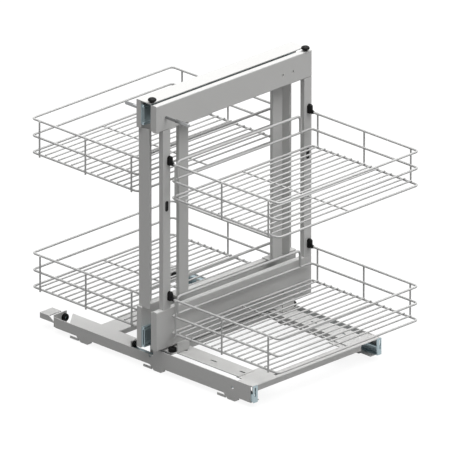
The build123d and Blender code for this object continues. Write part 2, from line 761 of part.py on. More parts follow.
def knob(x, y, z):
    """A knob in the part in hand, with its underside at the given point."""
    rod((x, y, z), (0, 0, 1), knob_neck, knob_neck_height)
    rod((x, y, z + knob_neck_height), (0, 0, 1), knob_diameter, knob_height)


with BuildPart() as near_knob:
    knob(near_knob_x, frame_near + near_knob_inset, top_beam_top_z)
    fillet(near_knob.faces().filter_by(Plane.XY).sort_by(Axis.Z)[-1].edges(), knob_height / 3)
save(near_knob, "near_knob")

with BuildPart() as far_knob:
    knob(far_knob_x, frame_far - far_knob_inset, top_bar_z + top_bar_height)
    fillet(far_knob.faces().filter_by(Plane.XY).sort_by(Axis.Z)[-1].edges(), knob_height / 3)
save(far_knob, "far_knob")


# Baskets, each with its near frame-side corner at the origin until it is placed
def wire_basket(end_x):
    """A basket in the part in hand. Its top rim is open on the frame side and its two ends lie at end_x."""
    rim_corners = ((0, 0), (basket_width, 0), (basket_width, basket_depth), (0, basket_depth))
    for rim_z in (0, basket_height / 2):
        wire([(x, y, rim_z) for x, y in rim_corners], rim_wire, basket_corner, close=True)
    top_corners = ((end_x, 0), (basket_width, 0), (basket_width, basket_depth), (end_x, basket_depth))
    wire([(x, y, basket_height) for x, y in top_corners], rim_wire, basket_corner)
    hoop_ends = (hoop_near, basket_depth - hoop_far)
    hoop = ((hoop_ends[0], basket_height / 2), (hoop_ends[0], basket_height), (hoop_ends[1], basket_height),
            (hoop_ends[1], basket_height / 2))
    wire([(0, y, z) for y, z in hoop], hoop_wire, hoop_corner)
    upright_out = rim_wire / 2 + upright_wire / 2 - weld
    upright_last = basket_width - upright_outer
    for upright_x in (upright_near, (upright_near + upright_last) / 2, upright_last):
        for upright_y in (-upright_out, basket_depth + upright_out):
            rod((upright_x, upright_y, -upright_foot), (0, 0, 1), upright_wire, upright_foot + basket_height)
    floor_up = rim_wire / 2 + floor_wire / 2 - weld
    floor_steps = int((basket_width - 2 * floor_margin) / floor_pitch)
    floor_first = (basket_width - floor_steps * floor_pitch) / 2
    for number in range(floor_steps + 1):
        rod((floor_first + number * floor_pitch, 0, floor_up), (0, 1, 0), floor_wire, basket_depth)
    rod((0, basket_depth / 2, floor_up - floor_wire + weld), (1, 0, 0), floor_wire, basket_width)


with BuildPart() as front_basket:
    wire_basket(clip_arm_depth - clip_insert - basket_gap)

with BuildPart() as rear_basket:
    wire_basket(-basket_gap - sheet - cap_length + hole_gap)

with BuildPart(Plane((front_basket_x, front_basket_y, upper_basket_z))) as front_upper_basket:
    add(front_basket.part)
save(front_upper_basket, "front_upper_basket")

with BuildPart(Plane((front_basket_x, front_basket_y, low_basket_z))) as front_lower_basket:
    add(front_basket.part)
save(front_lower_basket, "front_lower_basket")

rear_corner_y = rear_basket_y + basket_depth

with BuildPart(Plane((rear_basket_x, rear_corner_y, upper_basket_z), (-1, 0, 0))) as rear_upper_basket:
    add(rear_basket.part)
save(rear_upper_basket, "rear_upper_basket")

with BuildPart(Plane((rear_basket_x, rear_corner_y, low_basket_z), (-1, 0, 0))) as rear_lower_basket:
    add(rear_basket.part)
save(rear_lower_basket, "rear_lower_basket")


# Clips that hold the ends of the baskets' top rims
def clip(x, y, z, outward):
    """A clip in the part in hand, on a post's face, at the centre of the rim's end; outward is 1 or -1."""
    arm_z = (z - clip_arm_height / 2, z + clip_arm_height / 2)
    body_z = (z + clip_base - clip_arm_height / 2, z + clip_height)
    limits_y = (y - clip_width / 2, y + clip_width / 2)
    block((x, x + outward * clip_depth), limits_y, body_z)
    block((x, x + outward * clip_arm_depth), limits_y, arm_z)
    rod((x + outward * clip_arm_depth, y, z), (-outward, 0, 0), rim_wire + 2 * hole_gap, clip_insert + hole_gap,
        mode=Mode.SUBTRACT)


with BuildPart() as front_basket_clips:
    for rim_level in rim_levels:
        for clip_y in (front_basket_y, front_basket_y + basket_depth):
            clip(front_x, clip_y, rim_level, 1)
save(front_basket_clips, "front_basket_clips")

with BuildPart() as rear_basket_caps:
    cap_x = carriage_x + sheet
    for rim_level in rim_levels:
        for rim_end_y in (rear_basket_y, rear_basket_y + basket_depth):
            block((cap_x, cap_x + cap_length + sheet), (rim_end_y + cap_limits[0], rim_end_y + cap_limits[1]),
                  (rim_level - cap_height / 2, rim_level + cap_height / 2))
            rod((cap_x, rim_end_y, rim_level), (1, 0, 0), rim_wire + 2 * hole_gap, cap_length, mode=Mode.SUBTRACT)
save(rear_basket_caps, "rear_basket_caps")
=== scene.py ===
"""Looks of a blind corner pull-out organizer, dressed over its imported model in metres."""

from __future__ import annotations

import json
import logging
import math
from collections.abc import Callable, Iterator
from dataclasses import dataclass, field
from enum import Enum

import bmesh
import bpy
from mathutils import Matrix, Vector

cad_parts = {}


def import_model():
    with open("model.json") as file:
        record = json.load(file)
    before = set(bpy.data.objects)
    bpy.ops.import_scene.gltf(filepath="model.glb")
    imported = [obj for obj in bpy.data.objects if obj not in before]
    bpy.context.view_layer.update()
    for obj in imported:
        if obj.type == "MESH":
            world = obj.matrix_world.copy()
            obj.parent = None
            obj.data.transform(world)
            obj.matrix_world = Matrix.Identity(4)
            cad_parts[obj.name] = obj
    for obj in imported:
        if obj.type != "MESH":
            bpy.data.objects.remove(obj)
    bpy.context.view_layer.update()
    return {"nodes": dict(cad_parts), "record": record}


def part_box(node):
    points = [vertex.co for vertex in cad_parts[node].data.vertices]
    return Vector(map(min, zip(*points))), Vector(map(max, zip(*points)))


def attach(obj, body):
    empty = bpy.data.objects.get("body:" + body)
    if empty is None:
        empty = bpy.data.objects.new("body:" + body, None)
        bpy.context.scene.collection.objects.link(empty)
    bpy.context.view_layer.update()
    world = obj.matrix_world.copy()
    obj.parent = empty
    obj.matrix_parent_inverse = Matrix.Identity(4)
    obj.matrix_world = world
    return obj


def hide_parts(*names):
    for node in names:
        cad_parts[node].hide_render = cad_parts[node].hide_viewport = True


LOG = logging.getLogger("organizer")
MM = 0.001
NOISE_SPAN = (0.3, 0.7)
SHARP_ANGLE = 38.0
Colour = tuple[float, float, float]
Profile = list[tuple[float, float]]
Radii = tuple[float, float, float]
Outline = list[Vector]


class Body(Enum):
    """The bodies that pieces ride on."""

    BASE = "base"
    CARRIAGE = "carriage"
    FRONT = "front_frame"


class Slot(Enum):
    """The record's material slots."""

    STEEL = "white_steel"
    WIRE = "white_wire"
    ZINC = "zinc_steel"
    RUBBER = "black_rubber"
    PLASTIC = "black_plastic"
    RUNNER = "runner_plastic"


class Along(Enum):
    """The way that a drawn sheet's grain runs, as the scale of its pattern along x, y and z."""

    X = (0.03, 1.0, 1.0)
    Y = (1.0, 0.03, 1.0)


class ShaderGroups:
    """The effects that several finishes share, each a node group that is built once."""

    def __init__(self) -> None:
        """Build the groups."""
        self.mottle = self._mottle()
        self.peel = self._peel()
        self.grain = self._grain()

    @staticmethod
    def _start(name: str, inputs: dict[str, float], outputs: dict[str, str]) -> bpy.types.ShaderNodeTree:
        """Start a group with its sockets.

        Args:
            name: The group's name.
            inputs: Name and default of each number that goes in.
            outputs: Name and socket type of each value that comes out.

        Returns:
            The group, with its Object coordinates on a Mapping node named "place".
        """
        tree = bpy.data.node_groups.new(name, "ShaderNodeTree")
        for label, value in inputs.items():
            socket = tree.interface.new_socket(label, in_out="INPUT", socket_type="NodeSocketFloat")
            socket.default_value = value
        for label, kind in outputs.items():
            tree.interface.new_socket(label, in_out="OUTPUT", socket_type=kind)
        tree.nodes.new("NodeGroupInput").name = "in"
        tree.nodes.new("NodeGroupOutput").name = "out"
        coordinates = tree.nodes.new("ShaderNodeTexCoord")
        place = tree.nodes.new("ShaderNodeMapping")
        place.name = "place"
        tree.links.new(coordinates.outputs["Object"], place.inputs["Vector"])
        return tree

    def _mottle(self) -> bpy.types.ShaderNodeTree:
        """Build the slow drift in tone and gloss over a surface.

        Returns:
            A group with Scale and Amount in, and a Factor round 1 and a Mask from 0 to 1 out.
        """
        tree = self._start("coat_mottle", {"Scale": 6.0, "Amount": 0.04},
                           {"Factor": "NodeSocketFloat", "Mask": "NodeSocketFloat"})
        noise = tree.nodes.new("ShaderNodeTexNoise")
        noise.inputs["Detail"].default_value = 5.0
        noise.inputs["Roughness"].default_value = 0.62
        centred = tree.nodes.new("ShaderNodeMath")
        centred.operation = "SUBTRACT"
        centred.inputs[1].default_value = 0.5
        scaled = tree.nodes.new("ShaderNodeMath")
        scaled.operation = "MULTIPLY_ADD"
        scaled.inputs[2].default_value = 1.0
        start, end = tree.nodes["in"], tree.nodes["out"]
        tree.links.new(tree.nodes["place"].outputs["Vector"], noise.inputs["Vector"])
        tree.links.new(start.outputs["Scale"], noise.inputs["Scale"])
        tree.links.new(noise.outputs["Fac"], centred.inputs[0])
        tree.links.new(centred.outputs[0], scaled.inputs[0])
        tree.links.new(start.outputs["Amount"], scaled.inputs[1])
        tree.links.new(scaled.outputs[0], end.inputs["Factor"])
        tree.links.new(noise.outputs["Fac"], end.inputs["Mask"])
        return tree

    def _peel(self) -> bpy.types.ShaderNodeTree:
        """Build the fine orange peel of a sprayed coat or a moulding's spark texture.

        Returns:
            A group with Scale in, and a Height out.
        """
        tree = self._start("orange_peel", {"Scale": 600.0}, {"Height": "NodeSocketFloat"})
        cells = tree.nodes.new("ShaderNodeTexVoronoi")
        cells.feature = "SMOOTH_F1"
        cells.inputs["Smoothness"].default_value = 0.8
        tree.links.new(tree.nodes["place"].outputs["Vector"], cells.inputs["Vector"])
        tree.links.new(tree.nodes["in"].outputs["Scale"], cells.inputs["Scale"])
        tree.links.new(cells.outputs["Distance"], tree.nodes["out"].inputs["Height"])
        return tree

    def _grain(self) -> bpy.types.ShaderNodeTree:
        """Build the fine lines of drawn or rolled metal.

        Returns:
            A group with Scale, and the stretch along X, Y and Z in, and a Mask from 0 to 1 out.
        """
        tree = self._start("drawn_grain", {"Scale": 900.0, "X": 1.0, "Y": 0.03, "Z": 1.0},
                           {"Mask": "NodeSocketFloat"})
        stretch = tree.nodes.new("ShaderNodeCombineXYZ")
        noise = tree.nodes.new("ShaderNodeTexNoise")
        noise.inputs["Detail"].default_value = 3.0
        start = tree.nodes["in"]
        for axis in "XYZ":
            tree.links.new(start.outputs[axis], stretch.inputs[axis])
        tree.links.new(stretch.outputs["Vector"], tree.nodes["place"].inputs["Scale"])
        tree.links.new(tree.nodes["place"].outputs["Vector"], noise.inputs["Vector"])
        tree.links.new(start.outputs["Scale"], noise.inputs["Scale"])
        tree.links.new(noise.outputs["Fac"], tree.nodes["out"].inputs["Mask"])
        return tree


class Shader:
    """A material under construction, with its Principled BSDF."""

    def __init__(self, name: str) -> None:
        """Make an empty material of the given name."""
        self.material = bpy.data.materials.new(name)
        self.material.use_nodes = True
        self.tree = self.material.node_tree
        self.surface = self.tree.nodes["Principled BSDF"]

    def group(self, tree: bpy.types.ShaderNodeTree, **values: float) -> bpy.types.ShaderNode:
        """Place a shared effect.

        Args:
            tree: The effect's group.
            values: Its inputs, by name.

        Returns:
            The group's node.
        """
        node = self.tree.nodes.new("ShaderNodeGroup")
        node.node_tree = tree
        for label, value in values.items():
            node.inputs[label].default_value = value
        return node

    def tint(self, colour: Colour, factor: bpy.types.NodeSocket) -> bpy.types.NodeSocket:
        """Multiply a colour by a factor that changes over the surface, and return the result's socket."""
        node = self.tree.nodes.new("ShaderNodeVectorMath")
        node.operation = "SCALE"
        node.inputs[0].default_value = colour
        self.tree.links.new(factor, node.inputs["Scale"])
        return node.outputs["Vector"]

    def spread(self, mask: bpy.types.NodeSocket, low: float, high: float) -> bpy.types.NodeSocket:
        """Map a mask to the range from low to high, and return the result's socket."""
        node = self.tree.nodes.new("ShaderNodeMapRange")
        node.inputs["From Min"].default_value, node.inputs["From Max"].default_value = NOISE_SPAN
        node.inputs["To Min"].default_value = low
        node.inputs["To Max"].default_value = high
        self.tree.links.new(mask, node.inputs["Value"])
        return node.outputs["Result"]

    def bump(self, height: bpy.types.NodeSocket, strength: float, depth: float) -> None:
        """Bump the surface.

        Args:
            height: The pattern, from 0 to 1.
            strength: How much of the bump shows, from 0 to 1.
            depth: The pattern's depth in metres.
        """
        node = self.tree.nodes.new("ShaderNodeBump")
        node.inputs["Strength"].default_value = strength
        node.inputs["Distance"].default_value = depth
        self.tree.links.new(height, node.inputs["Height"])
        self.tree.links.new(node.outputs["Normal"], self.surface.inputs["Normal"])

    def feed(self, socket: bpy.types.NodeSocket, name: str) -> None:
        """Link a socket to one of the surface's inputs."""
        self.tree.links.new(socket, self.surface.inputs[name])


@dataclass(frozen=True)
class PowderCoat:
    """A sprayed and baked coat on steel sheet or wire."""

    name: str
    colour: Colour
    roughness: float = 0.40
    drift: float = 0.05
    drift_scale: float = 7.0
    peel_scale: float = 650.0
    peel_strength: float = 0.35
    peel_depth: float = 0.04 * MM
    specular: float = 0.5

    def material(self, groups: ShaderGroups) -> bpy.types.Material:
        """Build the material.

        Args:
            groups: The shared effects.

        Returns:
            The finished material.
        """
        shader = Shader(self.name)
        mottle = shader.group(groups.mottle, Scale=self.drift_scale, Amount=self.drift)
        shader.feed(shader.tint(self.colour, mottle.outputs["Factor"]), "Base Color")
        gloss = shader.spread(mottle.outputs["Mask"], self.roughness - 0.04, self.roughness + 0.05)
        shader.feed(gloss, "Roughness")
        peel = shader.group(groups.peel, Scale=self.peel_scale)
        shader.bump(peel.outputs["Height"], self.peel_strength, self.peel_depth)
        shader.surface.inputs["Specular IOR Level"].default_value = self.specular
        return shader.material


@dataclass(frozen=True)
class ZincPlate:
    """Bright zinc plating with a bluish passivation over drawn steel."""

    name: str
    colour: Colour
    along: Along = Along.Y
    roughness: float = 0.34
    drift: float = 0.22
    drift_scale: float = 28.0
    grain_scale: float = 700.0
    grain_strength: float = 0.25
    grain_depth: float = 0.02 * MM
    metallic: float = 0.85

    def material(self, groups: ShaderGroups) -> bpy.types.Material:
        """Build the material.

        Args:
            groups: The shared effects.

        Returns:
            The finished material.
        """
        shader = Shader(self.name)
        mottle = shader.group(groups.mottle, Scale=self.drift_scale, Amount=self.drift)
        shader.feed(shader.tint(self.colour, mottle.outputs["Factor"]), "Base Color")
        scale_x, scale_y, scale_z = self.along.value
        grain = shader.group(groups.grain, Scale=self.grain_scale, X=scale_x, Y=scale_y, Z=scale_z)
        gloss = shader.spread(grain.outputs["Mask"], self.roughness - 0.08, self.roughness + 0.1)
        shader.feed(gloss, "Roughness")
        shader.bump(grain.outputs["Mask"], self.grain_strength, self.grain_depth)
        shader.surface.inputs["Metallic"].default_value = self.metallic
        return shader.material


@dataclass(frozen=True)
class Moulding:
    """Moulded plastic or rubber with a fine spark texture."""

    name: str
    colour: Colour
    roughness: float
    drift: float = 0.25
    drift_scale: float = 60.0
    texture_scale: float = 1400.0
    texture_strength: float = 0.4
    texture_depth: float = 0.03 * MM
    specular: float = 0.13

    def material(self, groups: ShaderGroups) -> bpy.types.Material:
        """Build the material.

        Args:
            groups: The shared effects.

        Returns:
            The finished material.
        """
        shader = Shader(self.name)
        mottle = shader.group(groups.mottle, Scale=self.drift_scale, Amount=self.drift)
        shader.feed(shader.tint(self.colour, mottle.outputs["Factor"]), "Base Color")
        gloss = shader.spread(mottle.outputs["Mask"], self.roughness - 0.06, self.roughness + 0.06)
        shader.feed(gloss, "Roughness")
        peel = shader.group(groups.peel, Scale=self.texture_scale)
        shader.bump(peel.outputs["Height"], self.texture_strength, self.texture_depth)
        shader.surface.inputs["Specular IOR Level"].default_value = self.specular
        return shader.material


class Finishes:
    """Every finish of the object, built once and given to nodes and pieces by its slot."""

    def __init__(self) -> None:
        """Build the materials."""
        groups = ShaderGroups()
        coats = {
            Slot.STEEL: PowderCoat("satin_grey_white_coat", (0.61, 0.608, 0.598)),
            Slot.WIRE: PowderCoat("wire_coat", (0.50, 0.50, 0.495), roughness=0.36, drift=0.03),
            Slot.ZINC: ZincPlate("zinc_plate", (0.40, 0.49, 0.52)),
            Slot.RUBBER: Moulding("black_rubber", (0.006, 0.006, 0.006), 0.62),
            Slot.PLASTIC: Moulding("black_moulding", (0.005, 0.005, 0.005), 0.38),
            Slot.RUNNER: Moulding("nylon", (0.62, 0.62, 0.58), 0.45, specular=0.45),
        }
        self.by_slot = {slot: coat.material(groups) for slot, coat in coats.items()}
        polished = ZincPlate("polished_steel", (0.28, 0.285, 0.29), Along.X, roughness=0.22)
        self.polished = polished.material(groups)

    def dress_node(self, node: bpy.types.Object, slot: Slot) -> None:
        """Give a node of the frame its finish.

        Args:
            node: The node's object.
            slot: The slot that it takes its finish from.
        """
        node.data.materials.clear()
        node.data.materials.append(self.by_slot[slot])
        LOG.info("%s: %s", node.name, slot.value)


class Outlines:
    """Closed outlines in a plane, each with a fixed count of points so that one can be joined to the next."""

    @staticmethod
    def circle(radius: float, count: int = 40) -> Outline:
        """Return a circle of the given radius in millimetres."""
        return Outlines.polar(lambda _turn: radius, count)

    @staticmethod
    def cross(arm: float, half_width: float, count: int = 40) -> Outline:
        """Return the outline of a cross recess.

        Args:
            arm: Length of an arm from the middle.
            half_width: Half of an arm's width.
            count: Number of points.
        """
        def reach(turn: float) -> float:
            across, up = max(abs(math.cos(turn)), 1e-6), max(abs(math.sin(turn)), 1e-6)
            return max(min(arm / across, half_width / up), min(half_width / across, arm / up))
        return Outlines.polar(reach, count)

    @staticmethod
    def slot(width: float, height: float, count: int = 40) -> Outline:
        """Return an upright slot with round ends, of the given width and height."""
        radius, straight = width / 2, (height - width) / 2
        points = []
        for number in range(count):
            turn = 2 * math.pi * (number + 0.5) / count
            lift = straight if math.sin(turn) > 0 else -straight
            points.append(Vector((radius * math.cos(turn), radius * math.sin(turn) + lift)))
        return points

    @staticmethod
    def dome(width: float, low: float, high: float, corner: float, count: int = 12) -> Outline:
        """Return an upright shape with a half-round top and two small round corners below.

        Args:
            width: Its width, the diameter of its top.
            low: Level of its underside.
            high: Level of its top.
            corner: Radius of the lower corners.
            count: Points of each quarter turn.
        """
        half = width / 2
        centres = ((half - corner, low + corner, corner, -90.0), (0.0, high - half, half, 0.0),
                   (0.0, high - half, half, 90.0), (corner - half, low + corner, corner, 180.0))
        points = []
        for across, up, radius, start in centres:
            for number in range(count):
                turn = math.radians(start + 90.0 * number / (count - 1))
                points.append(Vector((across + radius * math.cos(turn), up + radius * math.sin(turn))))
        return points

    @staticmethod
    def polar(reach: Callable[[float], float], count: int) -> Outline:
        """Return an outline from its distance to the middle as a function of the angle."""
        turns = (2 * math.pi * number / count for number in range(count))
        return [Vector((reach(turn) * math.cos(turn), reach(turn) * math.sin(turn))) for turn in turns]


@dataclass(frozen=True)
class Seat:
    """Where a small piece sits, and the way that it points."""

    point: Vector
    outward: Vector
    up: Vector = field(default_factory=lambda: Vector((0.0, 0.0, 1.0)))

    def place(self, outline: Outline, height: float) -> list[Vector]:
        """Return an outline's points in metres, at a height in millimetres over the seat."""
        across, lift = self.up.cross(self.outward), self.outward * height
        return [self.point + (across * spot.x + self.up * spot.y + lift) * MM for spot in outline]


class Piece:
    """A detailed piece under construction, made of closed lofts."""

    def __init__(self, name: str) -> None:
        """Start an empty piece of the given name."""
        self.name = name
        self.shape = bmesh.new()

    def loft(self, seat: Seat, sections: list[tuple[Outline, float]]) -> None:
        """Add a closed solid that runs through its sections.

        Args:
            seat: Where it sits.
            sections: Each outline with its height in millimetres over the seat.
        """
        rings = [[self.shape.verts.new(spot) for spot in seat.place(outline, height)]
                 for outline, height in sections]
        for lower, upper in zip(rings, rings[1:]):
            for number, corner in enumerate(lower):
                following = (number + 1) % len(lower)
                self.shape.faces.new((corner, lower[following], upper[following], upper[number]))
        self.shape.faces.new(rings[0][::-1])
        self.shape.faces.new(rings[-1])

    def turned(self, seat: Seat, profile: Profile, count: int = 40) -> None:
        """Add a round solid from its radii and their heights, both in millimetres."""
        self.loft(seat, [(Outlines.circle(radius, count), height) for radius, height in profile])

    def bead(self, point: Vector, radii: Vector) -> None:
        """Add a weld bead.

        Args:
            point: Its middle in metres.
            radii: Its three radii in millimetres.
        """
        stretch = Matrix.Diagonal((*(radii * MM), 1.0))
        place = Matrix.Translation(point) @ stretch
        bmesh.ops.create_icosphere(self.shape, subdivisions=2, radius=1.0, matrix=place)

    def finish(self, body: Body, slot: Slot, material: bpy.types.Material, *nodes: str) -> None:
        """Turn the piece into an object that moves with its body.

        Args:
            body: The body that it rides on.
            slot: The record's slot that its finish stands for; not used.
            material: Its finish.
            nodes: The nodes that it stands for.
        """
        bmesh.ops.remove_doubles(self.shape, verts=self.shape.verts, dist=1e-6)
        bmesh.ops.recalc_face_normals(self.shape, faces=self.shape.faces)
        mesh = bpy.data.meshes.new(self.name)
        self.shape.to_mesh(mesh)
        self.shape.free()
        mesh.shade_smooth()
        mesh.set_sharp_from_angle(angle=math.radians(SHARP_ANGLE))
        mesh.materials.append(material)
        piece = bpy.data.objects.new(self.name, mesh)
        bpy.context.scene.collection.objects.link(piece)
        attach(piece, body.value)
        if nodes:
            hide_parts(*nodes)
        LOG.info("%s: %d faces", self.name, len(mesh.polygons))


@dataclass(frozen=True)
class Knobs:
    """Mushroom knobs, one on the carriage's upper beam and one on the front frame's upper bar."""

    profile: tuple[tuple[float, float], ...] = (
        (4.0, 0.0), (4.0, 1.9), (4.4, 2.5), (6.6, 2.9), (8.3, 3.7), (9.2, 4.8), (9.5, 6.1), (9.2, 7.4),
        (8.4, 8.6), (7.2, 9.5), (5.8, 10.1), (4.6, 10.4), (3.9, 10.5), (3.4, 10.2), (2.6, 9.7), (1.4, 9.5))

    def build(self, finishes: Finishes) -> None:
        """Build both knobs."""
        for node, body in (("near_knob", Body.CARRIAGE), ("far_knob", Body.FRONT)):
            low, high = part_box(node)
            middle = (low + high) / 2
            piece = Piece(f"mushroom_{node}")
            seat = Seat(Vector((middle.x, middle.y, low.z)), Vector((0, 0, 1)), Vector((0, 1, 0)))
            piece.turned(seat, list(self.profile), 56)
            piece.finish(body, Slot.PLASTIC, finishes.by_slot[Slot.PLASTIC], node)


@dataclass(frozen=True)
class RubberBuffer:
    """A pair of ringed rubber buffers, each with a screw sunk in its middle."""

    node: str
    name: str
    body: Body
    outward: Vector
    screw_radius: float = 2.6
    well_bottom: float = 0.45

    def build(self, finishes: Finishes) -> None:
        """Build both buffers and their screws."""
        low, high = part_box(self.node)
        size = (high - low) / MM
        length = abs(size.dot(self.outward))
        upright = self.outward.z > 0.5
        radius = (size.x if upright else size.z) / 2
        up = Vector((0, 1, 0)) if upright else Vector((0, 0, 1))
        rubber, screws = Piece(self.name), Piece(f"{self.name}_screws")
        for side_y in (low.y + radius * MM, high.y - radius * MM):
            middle = Vector(((low.x + high.x) / 2, side_y, (low.z + high.z) / 2))
            seat = Seat(middle - self.outward * length * MM / 2, self.outward, up)
            rubber.turned(seat, self._section(radius, length))
            screws.loft(seat, self._screw(length))
        rubber.finish(self.body, Slot.RUBBER, finishes.by_slot[Slot.RUBBER], self.node)
        screws.finish(self.body, Slot.ZINC, finishes.by_slot[Slot.ZINC])

    def _section(self, radius: float, length: float) -> Profile:
        """Return the buffer's profile, with a ring round its rim and a well for its screw."""
        well = self.screw_radius + 0.5
        return [(radius - 0.5, 0.0), (radius, 0.5), (radius, length * 0.42), (radius - 0.45, length * 0.5),
                (radius - 0.05, length * 0.58), (radius - 0.1, length - 1.3), (radius - 0.7, length - 0.4),
                (radius - 1.6, length), (well + 1.2, length), (well + 0.4, length - 0.25),
                (well, length - 0.8), (well - 0.1, length * self.well_bottom)]

    def _screw(self, length: float) -> list[tuple[Outline, float]]:
        """Return the sections of a pan head at the bottom of the well, with its cross recess."""
        radius, base = self.screw_radius, length * self.well_bottom
        return [(Outlines.circle(radius), base - 0.4), (Outlines.circle(radius), base + 0.5),
                (Outlines.circle(radius * 0.86), base + 1.0),
                (Outlines.cross(radius * 0.62, radius * 0.17), base + 1.2),
                (Outlines.cross(radius * 0.5, radius * 0.12), base + 0.3)]


@dataclass(frozen=True)
class BasketClips:
    """Hooded clips on the front posts, each with a spout that holds an end of a basket's top rim."""

    width: float = 11.0
    hood_low: float = -4.5
    hood_high: float = 16.5
    spout_length: float = 16.0

    def build(self, finishes: Finishes) -> None:
        """Build the four clips."""
        low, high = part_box("front_basket_clips")
        piece = Piece("hooded_clips")
        half = self.width / 2 * MM
        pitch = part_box("front_upper_basket")[0].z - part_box("front_lower_basket")[0].z
        lower_z = low.z - self.hood_low * MM
        for rim_y in (low.y + half, high.y - half):
            for rim_z in (lower_z, lower_z + pitch):
                self._clip(piece, Seat(Vector((low.x, rim_y, rim_z)), Vector((1, 0, 0))))
        piece.finish(Body.FRONT, Slot.PLASTIC, finishes.by_slot[Slot.PLASTIC], "front_basket_clips")

    def _clip(self, piece: Piece, seat: Seat) -> None:
        """Add one clip, with its seat at the rim wire's centre on the post's face."""
        hood = [(0.0, 0.0), (0.0, 4.6), (0.25, 6.2), (0.9, 7.6), (1.9, 8.5), (3.2, 9.0)]
        piece.loft(seat, [(self._hood(inset), depth) for inset, depth in hood])
        spout = [(4.2, 4.0), (4.2, 8.6), (4.0, 9.6), (3.9, 12.4), (3.5, 14.6), (3.1, 15.6),
                 (2.62, self.spout_length)]
        piece.turned(seat, spout, 32)
        rib = [(4.6, 9.6), (4.75, 10.1), (4.6, 10.6), (3.9, 10.9)]
        piece.turned(seat, [(3.6, 9.5)] + rib, 32)

    def _hood(self, inset: float) -> Outline:
        """Return the hood's outline, drawn in by the given distance."""
        corner = max(2.2 - inset * 0.4, 0.6)
        return Outlines.dome(self.width - 2 * inset, self.hood_low + inset * 0.6, self.hood_high - inset, corner)


@dataclass(frozen=True)
class PostPlugs:
    """Oval plugs in the front posts, dished in the middle."""

    width: float = 9.0
    height: float = 24.0
    lip: float = 1.0
    stem: float = 1.5

    def build(self, finishes: Finishes) -> None:
        """Build both plugs."""
        low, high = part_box("front_post_plugs")
        piece = Piece("oval_plugs")
        half = self.width / 2 * MM
        sections = [(2.2, -self.stem), (2.2, 0.0), (0.0, 0.0), (0.0, self.lip * 0.45),
                    (0.3, self.lip * 0.8), (0.9, self.lip), (2.0, self.lip), (2.6, self.lip * 0.8),
                    (3.6, self.lip * 0.1), (5.0, -0.1)]
        for plug_y in (low.y + half, high.y - half):
            seat = Seat(Vector((high.x - self.lip * MM, plug_y, (low.z + high.z) / 2)), Vector((1, 0, 0)))
            piece.loft(seat, [(Outlines.slot(self.width - inset, self.height - inset), height)
                              for inset, height in sections])
        piece.finish(Body.FRONT, Slot.PLASTIC, finishes.by_slot[Slot.PLASTIC], "front_post_plugs")


@dataclass(frozen=True)
class Pegs:
    """Turned steel pegs with a neck, a thicker grip that is grooved near its end, and a rounded tip."""

    radius: float = 4.0
    neck_radius: float = 3.0
    spigot_radius: float = 2.5
    spigot: float = 2.0
    grip: float = 40.0

    def build(self, finishes: Finishes) -> None:
        """Build the front and the rear peg."""
        for node, body, outward in (("front_peg", Body.FRONT, 1.0), ("rear_peg", Body.CARRIAGE, -1.0)):
            low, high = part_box(node)
            start = low.x if outward > 0 else high.x
            middle = (low + high) / 2
            seat = Seat(Vector((start, middle.y, middle.z)), Vector((outward, 0, 0)))
            length = (high.x - low.x) / MM
            piece = Piece(f"turned_{node}")
            piece.turned(seat, self._profile(length), 36)
            piece.finish(body, Slot.ZINC, finishes.polished, node)

    def _profile(self, length: float) -> Profile:
        """Return the peg's profile over its whole length."""
        full, neck, face, shoulder = self.radius, self.neck_radius, self.spigot, length - self.grip
        start = [(self.spigot_radius, 0.0), (self.spigot_radius, face), (neck - 0.3, face), (neck, face + 0.3)]
        step = [(neck, shoulder - 1.6), (neck + 0.3, shoulder - 0.5), (full - 0.3, shoulder),
                (full, shoulder + 0.5)]
        groove = [(full, length - 7.0), (full - 0.45, length - 6.6), (full - 0.45, length - 5.8),
                  (full, length - 5.4)]
        tip = [(full, length - 2.2), (full * 0.93, length - 1.2), (full * 0.75, length - 0.45),
               (full * 0.48, length - 0.1), (full * 0.2, length)]
        return start + step + groove + tip


